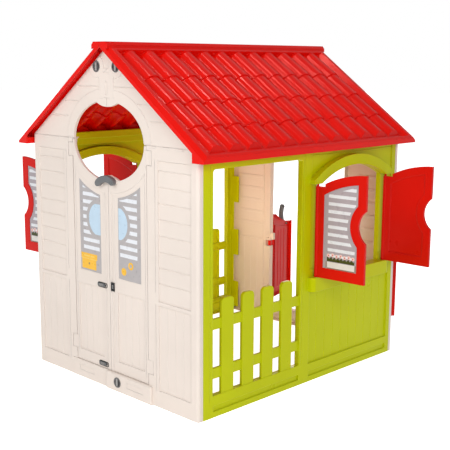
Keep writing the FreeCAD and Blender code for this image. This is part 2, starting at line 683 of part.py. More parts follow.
def rounded_rect(x0, x1, z0, z1, r):
    k = r * (1 - math.sqrt(0.5))
    return path_face([(x0, z0), (x1, z0), (x1, z1 - r), (x1 - k, z1 - k, x1 - r, z1),
                      (x0 + r, z1), (x0 + k, z1 - k, x0, z1 - r)])


def post_lines():
    return [box(POST[0] + 12, POST[0] + 14.4, -1, 1.2, 90, 940),
            box(58, 60.4, -1, 1.2, 60, 940)]


# ---- shutters, built closed in the side wall's frame ----------------------------------------
def shutter_face(inset, z_low):
    """Front shutter's outline from the hinge strip to the free edge, all edges moved in."""
    x_free = SHUTTER_W - inset
    r = SHUTTER_R - inset
    nz, nr, nd = NOTCH
    nx = SHUTTER_W - nd + nr
    x0 = HINGE_STRIP if inset == 0 else inset - 3
    top = lambda x: ARCH_CZ + math.sqrt(r * r - (SHUTTER_PIVOT - x) ** 2)
    rn = nr + inset
    dz = math.sqrt(rn * rn - (nx - x_free) ** 2)
    mid = (x0 + x_free) / 2
    return path_face([(x0, z_low), (x_free, z_low), (x_free, nz - dz),
                      (nx - rn, nz, x_free, nz + dz), (x_free, top(x_free)),
                      (mid, top(mid), x0, top(x0))])


def shutter():
    """Shutter hinged at x = 0: barrel strip, bordered panel, pivots above and below."""
    z0, z1 = SHUTTER_Z
    t = SHUTTER_T / 2
    leaf = slab(shutter_face(0, z0), -t, t).fuse(box(0, HINGE_STRIP + 2, -t, t, z0, z1))
    leaf = leaf.fuse(rod_z(0, 0, 9, z0, z1))
    field = shutter_face(BORDER, z0 + BORDER + 6)
    leaf = cut(leaf, [slab(field, -t - 1, -t + 3), slab(field, t - 3, t + 1)])
    back_line = slab(field.makeOffset2D(3), t - 1.5, t + 1)
    pins = [rod_z(0, 0, 4.9, z0 - 11, z0 + 1), rod_z(0, 0, 4.9, z1 - 1, z1 + 21)]
    return leaf.cut(back_line).multiFuse(pins).removeSplitter()


def shutter_sticker():
    t = SHUTTER_T / 2
    return slab(shutter_face(BORDER + 0.6, SHUTTER_Z[0] + BORDER + 6.6), -t + 2.5, -t + 3)


def hang_shutter(shape, which):
    """Moves a closed shutter to its pivot and turns it to its resting angle."""
    if which == "rear":
        shape = mirror_x(shape)
    angle = -SHUTTER_OPEN[0] if which == "front" else SHUTTER_OPEN[1]
    side = -1 if which == "front" else 1
    shape = shape.rotated(V(0, 0, 0), V(0, 0, 1), angle)
    return shape.translated(V(WINDOW_MID + side * SHUTTER_PIVOT, SHUTTER_AXIS, 0))


# ---- roof -----------------------------------------------------------------------------------
def ripple(level):
    """Tile profile from the first valley to the last: half a valley, a hump, half a valley."""
    pitch = (MID_Y - 0.3 - FIELD[0]) / TILE_COLUMNS
    q = VALLEY_HALF * pitch
    rise = SHOULDER * TILE_RISE
    r = (q * q + rise * rise) / (2 * rise)
    low = level + r - math.sqrt(r * r - q * q / 4)
    path = [(FIELD[0], level)]
    for i in range(TILE_COLUMNS):
        x = FIELD[0] + pitch * i
        path.append((x + q / 2, low, x + q, level + rise))
        path.append((x + pitch / 2, level + TILE_RISE, x + pitch - q, level + rise))
        path.append((x + pitch - q / 2, low, x + pitch, level))
    return path


def backwards(path):
    """The same path from its end to its start."""
    out = [path[-1][-2:]]
    for i in range(len(path) - 1, 0, -1):
        out.append(path[i][:-2] + path[i - 1][-2:])
    return out


def wave(y0, level, drop):
    """Closed band under a row of humps, drop deep."""
    return path_face(ripple(level) + backwards(ripple(level - drop))).translated(V(0, y0, 0))


def end_cutter(y0, length):
    """Block with a leaning face that starts at y0 in the valleys."""
    low = TILE_VALLEY - 6
    high = TILE_VALLEY + TILE_RISE + 6
    at = lambda z: y0 + TILE_END * (z - TILE_VALLEY) / TILE_RISE
    x = FIELD[0] - 1
    return prism([V(x, at(low), low), V(x, at(high), high), V(x, at(high) - length, high),
                  V(x, at(low) - length, low)], V(MID_Y, 0, 0))


def hump_caps(y0, fall):
    """Leaning ends of the lowest humps."""
    top = ripple(TILE_VALLEY)
    foot = TILE_VALLEY - TILE_SKIN
    solid = path_face(top + [(top[-1][-2], foot), (FIELD[0], foot)]).translated(V(0, y0 - 3, fall * 3))
    solid = solid.extrude(V(0, 40, -40 * fall))
    return solid.common(end_cutter(y0 + TILE_SKIN * 1.4, TILE_SKIN * 1.4))


def tile_field():
    """Rows of tiles and the walls of their field; x along the ridge, y up the slope, z out."""
    x0, y0, y1 = FIELD
    x1 = MID_Y - 0.3
    low = TILE_VALLEY - 7.5
    parts = []
    for i in range(4):
        start = TILE_LINES[i]
        length = TILE_LINES[i + 1] - start + (TILE_SKIN if i < 3 else y1 - TILE_LINES[4] + 1)
        row = wave(start, TILE_VALLEY, TILE_SKIN).extrude(V(0, length, -TILE_STEP))
        if i:
            parts.append(wave(start, TILE_VALLEY, TILE_SKIN + TILE_STEP).extrude(V(0, TILE_SKIN, 0)))
        else:
            row = row.cut(end_cutter(start, 60))
            parts.append(hump_caps(start, TILE_STEP / length))
        parts.append(row)
    parts.append(box(x0, x1, y0, TILE_LINES[0] + 1, TILE_VALLEY - TILE_SKIN, TILE_VALLEY))
    parts.append(box(4, x1, y0 - ROOF_SKIN, y0, low, 0))
    parts.append(box(4, x1, y1, y1 + ROOF_SKIN, low, 0))
    bevel = path_face([(4, 0), (x0, TILE_VALLEY), (x0, low), (x0 - ROOF_SKIN, low),
                       (x0 - ROOF_SKIN, TILE_VALLEY - 1), (3, -ROOF_SKIN), (0, -ROOF_SKIN), (0, 0)])
    parts.append(slab(bevel, y0 - ROOF_SKIN, y1 + ROOF_SKIN))
    return parts


def slope_placement():
    turn = FreeCAD.Rotation(V(0, 1, 0), V(-math.cos(PITCH), 0, math.sin(PITCH)),
                            V(math.sin(PITCH), 0, math.cos(PITCH)), "XYZ")
    return FreeCAD.Placement(V(EAVE_X, 0, EAVE_TOP_Z), turn)


def on_slope(shape):
    placed = shape.copy()
    placed.Placement = slope_placement().multiply(placed.Placement)
    return placed


def rake_chamfer(shift):
    """Wedge that bevels the roof's outer end, along the whole slope."""
    a = -RAKE_OVERHANG - 1 + shift
    x = -20.0
    z = roof_z(x) - shift
    pts = [V(x, a, z - 15.5), V(x, a, z + 20), V(x, a + 19, z + 20), V(x, a + 19, z)]
    face = Part.Face(Part.makePolygon(pts + [pts[0]]))
    return face.extrude(V(640, 0, -640 * math.tan(PITCH)))


def roof_panel():
    """Front right quarter of the roof: hollow shell with tiles, rake, eave box and ridge block."""
    y0, y1 = -RAKE_OVERHANG, MID_Y - 0.3
    plate = ROOF_SKIN / math.cos(PITCH)
    low = roof_z(0) - ROOF_DROP
    soffit_x = HALF_W + 2
    top_x = EAVE_X - (RIDGE_TOP_Z - EAVE_TOP_Z) / math.tan(PITCH)
    outer = path_face([(0.3, RIDGE_TOP_Z), (top_x, RIDGE_TOP_Z), (EAVE_X - 7, roof_z(EAVE_X - 7)),
                       (EAVE_X, roof_z(EAVE_X) - 3), (EAVE_X, EAVE_BOTTOM_Z),
                       (soffit_x, EAVE_BOTTOM_Z), (soffit_x, roof_z(soffit_x) - ROOF_DROP),
                       (0.3, low)])
    outer = slab(outer, y0, y1).cut(rake_chamfer(0))
    xi = EAVE_X - 4
    lip = soffit_x + ROOF_SKIN
    inner = path_face([(3.8, RIDGE_TOP_Z - ROOF_SKIN),
                       (top_x, roof_z(top_x) - plate), (xi, roof_z(xi) - plate - 2),
                       (xi, EAVE_BOTTOM_Z + 3), (lip, EAVE_BOTTOM_Z + 3), (lip, 972),
                       (soffit_x - 2, 972), (soffit_x - 2, 900), (3.8, low - 60)])
    cavities = [slab(inner, y0 + 4, 8).cut(rake_chamfer(4)), slab(inner, 12, y1 - 4)]
    shell = cut(outer, cavities)
    x0, s0, s1 = FIELD
    deep = TILE_VALLEY - 14
    pocket = path_face([(4, 0.5), (4, 0), (x0, TILE_VALLEY), (x0, deep), (y1 + 5, deep), (y1 + 5, 0.5)])
    shell = shell.cut(on_slope(slab(pocket, s0, s1)))
    ridge = ridge_block(y0, y1)
    panel = shell.multiFuse([on_slope(p) for p in tile_field()] + [ridge])
    panel = panel.common(box(0.3, EAVE_X + 1, y0, y1, 900, 1400))
    return cut(panel, ridge_marks(y0, y1)).removeSplitter()


def ridge_block(y0, y1):
    """Raised half of the ridge, open below."""
    foot = roof_z(RIDGE_HALF)
    x0 = 0.3 + ROOF_SKIN
    x1 = RIDGE_HALF - ROOF_SKIN
    outer = path_face([(0.3, roof_z(0) - ROOF_DROP + 1), (RIDGE_HALF, foot - 6),
                       (RIDGE_HALF, RIDGE_TOP_Z - 12), (RIDGE_HALF - 10, RIDGE_TOP_Z),
                       (0.3, RIDGE_TOP_Z)])
    inner = path_face([(x0, foot - 40), (x1, foot - 40), (x1, RIDGE_TOP_Z - 13.5),
                       (RIDGE_HALF - 11.5, RIDGE_TOP_Z - ROOF_SKIN), (x0, RIDGE_TOP_Z - ROOF_SKIN)])
    return slab(outer, y0, y1).cut(slab(inner, y0 + 4, y1 - 4))


def ridge_marks(y0, y1):
    """Joint between the halves of the ridge, and the step behind its end block."""
    foot = roof_z(RIDGE_HALF)
    return [box(0, 1.5, y0 - 1, y0 + 1.6, foot - 20, RIDGE_TOP_Z + 1),
            box(0, 1.5, y0 - 1, y1 + 1, RIDGE_TOP_Z - 1.6, RIDGE_TOP_Z + 1),
            box(RIDGE_HALF - 1.4, RIDGE_HALF + 1, y0 + 24, y1 + 1, foot + 3, RIDGE_TOP_Z - 13)]


# ---- assembly -------------------------------------------------------------------------------
def swing(shape, angle, side):
    """Turns a door leaf outwards about its hinge pins; side 1 is the right-hand leaf."""
    return shape.rotated(V(side * HINGE[0], HINGE[1], 0), V(0, 0, 1), side * angle)


def walls():
    front = knuckle_heights(True)
    back = knuckle_heights(False)
    nodes = {
        "front_gable": gable_panel(),
        "front_right_wall": front_right_wall(front),
        "front_left_wall": front_left_wall(front),
        "back_gable": half_turn(gable_panel()),
        "back_right_wall": half_turn(mirror_x(wall_knuckle(mirror_x(front_left_wall(back))))),
        "back_left_wall": half_turn(wall_knuckle(front_right_wall(back))),
    }
    wall = side_wall()
    nodes["right_wall"] = to_right(wall)
    nodes["left_wall"] = to_left(wall)
    panel = roof_panel()
    other = mirror_x(panel)
    nodes["roof_front_right"] = panel
    nodes["roof_front_left"] = other
    nodes["roof_back_left"] = half_turn(panel)
    nodes["roof_back_right"] = half_turn(other)
    return nodes


def shutters():
    nodes = {}
    for wall, place in (("right", to_right), ("left", to_left)):
        for which in ("front", "rear"):
            end = which if wall == "right" else {"front": "rear", "rear": "front"}[which]
            name = "%s_%s_shutter" % (wall, end)
            nodes[name] = place(hang_shutter(shutter(), which))
            nodes[name + "_sticker"] = place(hang_shutter(shutter_sticker(), which))
    return nodes


def front_doors():
    top = SEAM_Z - OVAL_B + 22
    pivot = V(LATCH_PIVOT_X, 0, latch_pivot_z(top))
    tilt = lambda s: s.rotated(pivot, V(0, 1, 0), -LATCH_TILT)
    sticker = sticker_field(0.8).common(box(0, 300, LEAF_Y0 + 0.7, LEAF_Y0 + 1.2, 0, 1000))
    pins = Part.makeCompound(door_pins(knuckle_heights(True)))
    return {
        "front_right_door": front_leaf(True),
        "front_left_door": front_leaf(False),
        "front_right_door_sticker": sticker,
        "front_left_door_sticker": mirror_x(sticker),
        "front_right_hinge_pins": pins,
        "front_left_hinge_pins": mirror_x(pins),
        "front_latch": tilt(arc_latch(top)),
        "front_latch_peg": tilt(latch_peg(top)),
        "front_latch_screw": latch_screw(top),
        "upper_bolt_plate": bolt_plate(BOLT_Z[0]),
        "lower_bolt_plate": bolt_plate(BOLT_Z[1]),
        "upper_bolt": bolt_slider(BOLT_Z[0]),
        "lower_bolt": bolt_slider(BOLT_Z[1]),
        "bolt_keeper": keeper(),
    }


def back_doors():
    """Low doors, built as on the front and turned round; the latch stands up on its leaf."""
    top = HALF_DOOR_LOW + 8
    zp = latch_pivot_z(top)
    pins = Part.makeCompound(door_pins(knuckle_heights(False)))
    stand = lambda s: s.rotated(V(LATCH_PIVOT_X, 0, zp), V(0, 1, 0), BACK_LATCH_UP)
    on_latch_leaf = lambda s: half_turn(swing(s, BACK_OPEN[0], 1))
    return {
        "back_left_door": on_latch_leaf(half_leaf(True)),
        "back_right_door": half_turn(swing(half_leaf(False), BACK_OPEN[1], -1)),
        "back_left_hinge_pins": half_turn(pins),
        "back_right_hinge_pins": half_turn(mirror_x(pins)),
        "back_latch": on_latch_leaf(stand(arc_latch(top))),
        "back_latch_peg": on_latch_leaf(stand(latch_peg(top))),
        "back_latch_screw": on_latch_leaf(latch_screw(top)),
    }


def plugs():
    gable = Part.makeCompound([plug(s * PLUG_X, PLUG_Z, -4, 19) for s in (1, -1)])
    sill = plug(SILL_PLUG[0], SILL_PLUG[1], -14, 17, PLUG_R - 1.2)
    return {
        "front_gable_screws": gable,
        "back_gable_screws": half_turn(gable),
        "front_sill_screw": sill,
        "back_sill_screw": half_turn(sill),
    }


def main():
    os.makedirs("parts", exist_ok=True)
    nodes = {}
    for group in (walls, shutters, front_doors, back_doors, plugs):
        nodes.update(group())
    for name, shape in nodes.items():
        shape.exportStep("parts/%s.step" % name)
        print("%-28s solids %d  valid %s  litres %.3f"
              % (name, len(shape.Solids), shape.isValid(), shape.Volume / 1e6))
    print("nodes", len(nodes), "litres", round(sum(s.Volume for s in nodes.values()) / 1e6, 2))


main()
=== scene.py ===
import json
import math

import bmesh
import bpy
from mathutils import Matrix, Vector


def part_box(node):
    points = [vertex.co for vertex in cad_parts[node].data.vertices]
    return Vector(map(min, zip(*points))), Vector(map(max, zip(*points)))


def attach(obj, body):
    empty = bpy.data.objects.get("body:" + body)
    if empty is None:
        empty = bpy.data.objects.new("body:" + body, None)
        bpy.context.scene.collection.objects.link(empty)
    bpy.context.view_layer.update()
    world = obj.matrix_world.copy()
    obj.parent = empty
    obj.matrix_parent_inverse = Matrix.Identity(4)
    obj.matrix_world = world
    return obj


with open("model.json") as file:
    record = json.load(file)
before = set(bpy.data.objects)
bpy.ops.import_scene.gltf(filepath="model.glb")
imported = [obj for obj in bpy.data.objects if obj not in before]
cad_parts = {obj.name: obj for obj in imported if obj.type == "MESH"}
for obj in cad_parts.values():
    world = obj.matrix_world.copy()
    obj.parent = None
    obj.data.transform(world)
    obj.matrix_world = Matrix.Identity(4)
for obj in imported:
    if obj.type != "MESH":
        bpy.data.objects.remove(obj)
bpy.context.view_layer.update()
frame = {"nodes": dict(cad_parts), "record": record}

# Metres, +Z up, the front wall's outer plane at y = 0 facing -Y.

# ---- camera ---------------------------------------------------------------------------------
CAMERA_AT = Vector((2.7316, -2.125, 1.294))
CAMERA_AZIMUTH = math.radians(44.674)
CAMERA_ELEVATION = math.radians(10.366)
CAMERA_ROLL = math.radians(0.305)
CAMERA_LENS = 72.18       # millimetres
CAMERA_SENSOR = 36.0
CAMERA_FAR = 100.0

# ---- the house's own sizes, as in the CAD source ---------------------------------------------
HALF_WIDTH = 0.5
DEPTH = 1.210
SEAM_Z = 0.987            # level of the oval opening's middle
OVAL_A = 0.214
OVAL_B = 0.153
DOOR_FACE = 0.0017        # depth of the printed face of a door sticker
SHUTTER_PIVOT = 0.229     # from the window's middle
SHUTTER_AXIS = -0.015     # negative is outside the wall's plane
SHUTTER_FACE = -0.0035    # printed face of a shutter sticker, in the closed shutter's frame
SHUTTER_OPEN = {"front": math.radians(86.0), "rear": math.radians(93.0)}
WINDOW_MID = 0.867
PRINT = 0.0002            # thickness of a printed shape

# ---- studio ----------------------------------------------------------------------------------
STUDIO_FILL = 0.38        # strength of the even light from all round
FLOOR_GLOW = 0.95         # what the camera sees of the lit floor, besides the light it reflects
FLOOR_BOUNCE = 0.30       # what the floor sends back to the object
FLOOR_HALF = 30.0
FLOOR_GREY = 0.9
FLOOR_ROUGH = 0.8
WHITE = (1.0, 1.0, 1.0, 1.0)
HOUSE_MIDDLE = (0.0, DEPTH / 2, 0.6)
LAMP_YELLOW = (1.0, 0.74, 0.44)
LAMP_CREAM = (1.0, 0.80, 0.62)
PLAIN = (1.0, 1.0, 1.0)
# Name, place, aim, diameter, watts, colour, spread in degrees.
LIGHTS = (
    ("key", (0.6, -4.4, 3.2), HOUSE_MIDDLE, 2.0, 98, PLAIN, 180),
    ("side", (4.0, -1.7, 2.2), HOUSE_MIDDLE, 1.6, 60, PLAIN, 180),
    ("above", (0.15, 0.35, 4.2), (0.3, 0.6, 1.1), 0.45, 8, PLAIN, 180),
    ("back", (-2.4, 5.2, 1.3), HOUSE_MIDDLE, 2.0, 60, PLAIN, 180),
    ("indoors", (0.30, 0.25, 0.70), (-0.35, 1.21, 0.50), 0.4, 1.4, LAMP_YELLOW, 80),
    ("indoors_up", (0.0, 0.60, 0.30), (0.0, 0.60, 1.30), 0.5, 1.6, LAMP_CREAM, 180),
)

# ---- how the materials vary: scales per metre, depths in metres ------------------------------
CLOUD_SCALE = 3.0         # slow change in the colour
CLOUD_DARK = 0.96         # the colour's darkest share
GRAIN_SCALE = 900.0       # fine moulded grain
GRAIN_DEPTH = 0.0006
WAVE_SCALE = 5.0          # slow waves in the surface
WAVE_DEPTH = 0.02
FIBRE_SCALE = 26.0        # upright streaks, as of wood fibres
FIBRE_STRETCH = (6.0, 6.0, 0.35)
FIBRE_DEPTH = 0.002
GLOSS_SCALE = 14.0        # patches that are glossier or duller
GLOSSIER = 0.05
DULLER = 0.07
ROUNDING_SAMPLES = 6
# Painted highlight on edges and creases: a paler colour is mixed in where the rounded shading
# turns from the flat face.
HIGHLIGHT_START = 0.995         # cosine of the rounding's turn where the painted highlight on an edge begins
HIGHLIGHT_FULL = 0.72           # and where it is palest
HIGHLIGHT_SHARE = 1.45          # the painted highlight's colour, as a share of the plain one
HIGHLIGHT_LIFT = 0.04
HIGHLIGHT_MOST = 0.95
MIX_A = 6                 # a mix node's colour sockets
MIX_B = 7
MIX_RESULT = 2
VINYL_CLOUD_SCALE = 30.0
VINYL_DARK = 0.97
VINYL_PALE = 1.03
VINYL_GLOSS_SCALE = 60.0
VINYL_ROUGH = (0.26, 0.36)
VINYL_WAVE_SCALE = 12.0
VINYL_WAVE = 0.1
VINYL_WAVE_DEPTH = 0.002


# ---- materials -------------------------------------------------------------------------------
def nodes_of(name):
    """A new material with an empty tree but for a Principled shader and the output."""
    material = bpy.data.materials.new(name)
    material.use_nodes = True
    tree = material.node_tree
    tree.nodes.clear()
    out = tree.nodes.new("ShaderNodeOutputMaterial")
    shader = tree.nodes.new("ShaderNodeBsdfPrincipled")
    tree.links.new(shader.outputs["BSDF"], out.inputs["Surface"])
    return material, tree, shader


def noise(tree, coords, scale, detail, stretch=(1, 1, 1)):
    mapping = tree.nodes.new("ShaderNodeMapping")
    mapping.inputs["Scale"].default_value = stretch
    tree.links.new(coords, mapping.inputs["Vector"])
    node = tree.nodes.new("ShaderNodeTexNoise")
    node.inputs["Scale"].default_value = scale
    node.inputs["Detail"].default_value = detail
    tree.links.new(mapping.outputs["Vector"], node.inputs["Vector"])
    return node.outputs["Fac"]


def ramp(tree, value, low, high, colour_low, colour_high):
    node = tree.nodes.new("ShaderNodeValToRGB")
    node.color_ramp.elements[0].position = low
    node.color_ramp.elements[0].color = colour_low
    node.color_ramp.elements[1].position = high
    node.color_ramp.elements[1].color = colour_high
    tree.links.new(value, node.inputs["Fac"])
    return node.outputs["Color"]


def bump(tree, height, strength, distance, under=None):
    node = tree.nodes.new("ShaderNodeBump")
    node.inputs["Strength"].default_value = strength
    node.inputs["Distance"].default_value = distance
    tree.links.new(height, node.inputs["Height"])
    if under is not None:
        tree.links.new(under, node.inputs["Normal"])
    return node.outputs["Normal"]


def shade(colour, factor):
    return tuple(min(1.0, c * factor) for c in colour) + (1.0,)


def even_grey(value):
    return (value, value, value, 1.0)


def moulded_plastic(name, colour, rough=0.42, grain=0.12, wave=0.25, fibres=0.0, pale=1.06,
                    edge=0.003, gleam=0.25, tint=(1, 1, 1), highlight_strength=0.35):
    """Coloured-through plastic: slightly uneven colour, fine moulded grain, slow surface waves,
    and edges and creases rounded in the shading, with a painted highlight of paler colour along
    them."""
    material, tree, shader = nodes_of(name)
    coords = tree.nodes.new("ShaderNodeTexCoord").outputs["Object"]
    cloud = noise(tree, coords, CLOUD_SCALE, 3.0)
    base = ramp(tree, cloud, 0.3, 0.7, shade(colour, CLOUD_DARK), shade(colour, pale))
    rounded = tree.nodes.new("ShaderNodeBevel")
    rounded.samples = ROUNDING_SAMPLES
    rounded.inputs["Radius"].default_value = edge
    flat = tree.nodes.new("ShaderNodeNewGeometry").outputs["Normal"]
    turn = tree.nodes.new("ShaderNodeVectorMath")
    turn.operation = "DOT_PRODUCT"
    tree.links.new(rounded.outputs["Normal"], turn.inputs[0])
    tree.links.new(flat, turn.inputs[1])
    # Painted highlight: where the rounded shading turns from the flat face, a paler colour is
    # mixed into the base colour.
    rim = tree.nodes.new("ShaderNodeMapRange")
    rim.inputs["From Min"].default_value = HIGHLIGHT_START
    rim.inputs["From Max"].default_value = HIGHLIGHT_FULL
    rim.inputs["To Max"].default_value = highlight_strength
    tree.links.new(turn.outputs["Value"], rim.inputs["Value"])
    painted_highlight = tree.nodes.new("ShaderNodeMix")
    painted_highlight.data_type = "RGBA"
    tree.links.new(rim.outputs["Result"], painted_highlight.inputs["Factor"])
    tree.links.new(base, painted_highlight.inputs[MIX_A])
    highlight_colour = tuple(min(HIGHLIGHT_MOST, HIGHLIGHT_SHARE * c + HIGHLIGHT_LIFT) for c in colour)
    painted_highlight.inputs[MIX_B].default_value = highlight_colour + (1.0,)
    tree.links.new(painted_highlight.outputs[MIX_RESULT], shader.inputs["Base Color"])
    fine = noise(tree, coords, GRAIN_SCALE, 2.0)
    gloss = ramp(tree, noise(tree, coords, GLOSS_SCALE, 4.0), 0.3, 0.75,
                 even_grey(rough - GLOSSIER), even_grey(rough + DULLER))
    tree.links.new(gloss, shader.inputs["Roughness"])
    slow = bump(tree, noise(tree, coords, WAVE_SCALE, 1.0), wave, WAVE_DEPTH,
                rounded.outputs["Normal"])
    normal = bump(tree, fine, grain, GRAIN_DEPTH, slow)
    if fibres:
        streaks = noise(tree, coords, FIBRE_SCALE, 5.0, FIBRE_STRETCH)
        normal = bump(tree, streaks, fibres, FIBRE_DEPTH, normal)
    tree.links.new(normal, shader.inputs["Normal"])
    shader.inputs["Specular IOR Level"].default_value = gleam
    shader.inputs["Specular Tint"].default_value = tint + (1.0,)
    return material


def printed_vinyl(name, colour):
    """Smooth printed film."""
    material, tree, shader = nodes_of(name)
    coords = tree.nodes.new("ShaderNodeTexCoord").outputs["Object"]
    cloud = noise(tree, coords, VINYL_CLOUD_SCALE, 3.0)
    base = ramp(tree, cloud, 0.35, 0.65, shade(colour, VINYL_DARK), shade(colour, VINYL_PALE))
    tree.links.new(base, shader.inputs["Base Color"])
    gloss = ramp(tree, noise(tree, coords, VINYL_GLOSS_SCALE, 2.0), 0.3, 0.7,
                 even_grey(VINYL_ROUGH[0]), even_grey(VINYL_ROUGH[1]))
    tree.links.new(gloss, shader.inputs["Roughness"])
    wave = bump(tree, noise(tree, coords, VINYL_WAVE_SCALE, 1.0), VINYL_WAVE, VINYL_WAVE_DEPTH)
    tree.links.new(wave, shader.inputs["Normal"])
    return material


CREAM = (0.80, 0.71, 0.64)
GREEN = (0.53, 0.58, 0.001)
RED = (0.68, 0.007, 0.003)
ROOF_RED = (0.78, 0.004, 0.001)
LATCH_GREY = (0.16, 0.165, 0.17)
DARK_GREY = (0.17, 0.165, 0.165)
BLACK = (0.018, 0.018, 0.019)
PALE_GREY = (0.36, 0.35, 0.34)
# Black for the discs of painted shade on the floor of the plug screws' dishes.
SHADE_BLACK = (0.045, 0.045, 0.045)
YELLOWISH = (1.0, 1.0, 0.12)
PINKISH = (1.0, 0.30, 0.26)

MATERIALS = {
    "cream_plastic": moulded_plastic(
        "cream_plastic", CREAM, rough=0.45, grain=0.15, wave=0.2, fibres=0.12, pale=1.03),
    "green_plastic": moulded_plastic(
        "green_plastic", GREEN, rough=0.32, grain=0.06, wave=0.12, fibres=0.05, pale=1.05,
        edge=0.0035, gleam=0.4, tint=YELLOWISH, highlight_strength=0.6),
    "red_plastic": moulded_plastic(
        "red_plastic", RED, rough=0.32, grain=0.06, wave=0.15, pale=1.05,
        gleam=0.4, tint=PINKISH),
    "red_roof_plastic": moulded_plastic(
        "red_roof_plastic", ROOF_RED, rough=0.20, grain=0.05, wave=0.07, pale=1.04,
        gleam=0.5, tint=PINKISH),
    "grey_latch_plastic": moulded_plastic(
        "grey_latch_plastic", LATCH_GREY, rough=0.35, grain=0.1, wave=0.1),
    "dark_grey_plastic": moulded_plastic(
        "dark_grey_plastic", DARK_GREY, rough=0.4, grain=0.1, wave=0.1),
    "black_plastic": moulded_plastic(
        "black_plastic", BLACK, rough=0.4, grain=0.1, wave=0.1),
    "door_sticker": printed_vinyl("door_sticker", (0.44, 0.41, 0.41)),
    "shutter_sticker": printed_vinyl("shutter_sticker", (0.42, 0.37, 0.40)),
}
LIGHT_GREY = moulded_plastic("light_grey_plastic", PALE_GREY, rough=0.35, grain=0.05, wave=0.05)
PRINTS = {
    # Painted shade: black discs on the floor of the plug screws' dishes.
    "painted_shade": moulded_plastic("plug_well", SHADE_BLACK, rough=0.5, grain=0.05, wave=0.05),
    "white": printed_vinyl("print_white", (0.78, 0.80, 0.84)),
    "sky": printed_vinyl("print_sky", (0.52, 0.67, 0.80)),
    "yellow": printed_vinyl("print_yellow", (0.90, 0.50, 0.03)),
    "pale_yellow": printed_vinyl("print_pale_yellow", (0.90, 0.60, 0.12)),
    "pink": printed_vinyl("print_pink", (0.86, 0.55, 0.50)),
    "rose": printed_vinyl("print_rose", (0.60, 0.10, 0.10)),
    "leaf": printed_vinyl("print_leaf", (0.05, 0.06, 0.005)),
    "box": printed_vinyl("print_box", (0.76, 0.73, 0.68)),
    "timber": printed_vinyl("print_timber", (0.30, 0.20, 0.12)),
    "grey": printed_vinyl("print_grey", (0.44, 0.41, 0.41)),
}


# ---- CAD nodes: finish and softened edges ----------------------------------------------------
WELD_DISTANCE = 0.00002
FLAT_ANGLE = math.radians(0.5)
EDGE_ANGLE = math.radians(35)
SOLID_ROUNDING = {
    "front_latch": 0.0025, "back_latch": 0.0025,
    "front_latch_peg": 0.0012, "back_latch_peg": 0.0012,
    "upper_bolt_plate": 0.0012, "lower_bolt_plate": 0.0012, "bolt_keeper": 0.0012,
}


def round_edges(node, radius):
    """Rounds a small moulded part's edges with modifiers, which leave its mesh as it is."""
    weld = node.modifiers.new("weld", "WELD")
    weld.merge_threshold = WELD_DISTANCE
    flat = node.modifiers.new("flat", "DECIMATE")
    flat.decimate_type = "DISSOLVE"
    flat.angle_limit = FLAT_ANGLE
    edge = node.modifiers.new("edge", "BEVEL")
    edge.limit_method = "ANGLE"
    edge.angle_limit = EDGE_ANGLE
    edge.width = radius
    edge.segments = 3
    edge.use_clamp_overlap = True
    edge.harden_normals = True


def finish_cad_nodes():
    slots = {part["node"]: part["material_slot"] for part in frame["record"]["subparts"]}
    for name, node in frame["nodes"].items():
        node.data.materials.clear()
        node.data.materials.append(MATERIALS[slots[name]])
        if name in SOLID_ROUNDING:
            round_edges(node, SOLID_ROUNDING[name])


# ---- new pieces ------------------------------------------------------------------------------
def add_piece(name, mesh, body, material):
    mesh.materials.append(material)
    piece = bpy.data.objects.new(name, mesh)
    bpy.context.scene.collection.objects.link(piece)
    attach(piece, body)


def half_turn(spot):
    """The same place on the back of the house."""
    return Vector((-spot.x, DEPTH - spot.y, spot.z))


def rounded_bars(name, body, material, bars, rounding, place=Vector):
    """Small moulded bars with rounded edges, each given by its lowest and highest corner."""
    made = bmesh.new()
    for low, high in bars:
        new = bmesh.ops.create_cube(made, size=1.0)["verts"]
        for vert in new:
            for axis in range(3):
                middle = (low[axis] + high[axis]) / 2
                vert.co[axis] = middle + vert.co[axis] * (high[axis] - low[axis])
        edges = {edge for vert in new for edge in vert.link_edges}
        bmesh.ops.bevel(made, geom=list(edges), offset=rounding, segments=3, profile=0.5,
                        affect="EDGES", clamp_overlap=True)
    for vert in made.verts:
        vert.co = place(vert.co)
    bmesh.ops.recalc_face_normals(made, faces=made.faces)
    for face in made.faces:
        face.smooth = True
    mesh = bpy.data.meshes.new(name)
    made.to_mesh(mesh)
    made.free()
    add_piece(name, mesh, body, material)


# ---- bolts and plug screws -------------------------------------------------------------------
RIBS = 5
RIB_FIRST = -0.0645       # left edge of a bolt's first rib
RIB_STEP = 0.0048
RIB_WIDTH = 0.0024
RIB_HALF = 0.0052         # half of its height
RIB_PROUD = 0.0008
RIB_SUNK = 0.0012
RIB_ROUNDING = 0.0006
KEEPER_BARS = (0.4160, 0.4210, 0.4260)
KEEPER_MARGIN = 0.0055    # from the keeper's side to a bar's end
KEEPER_BAR_Y = (0.0004, 0.0020)
KEEPER_BAR_HALF = 0.0013
KEEPER_ROUNDING = 0.0005


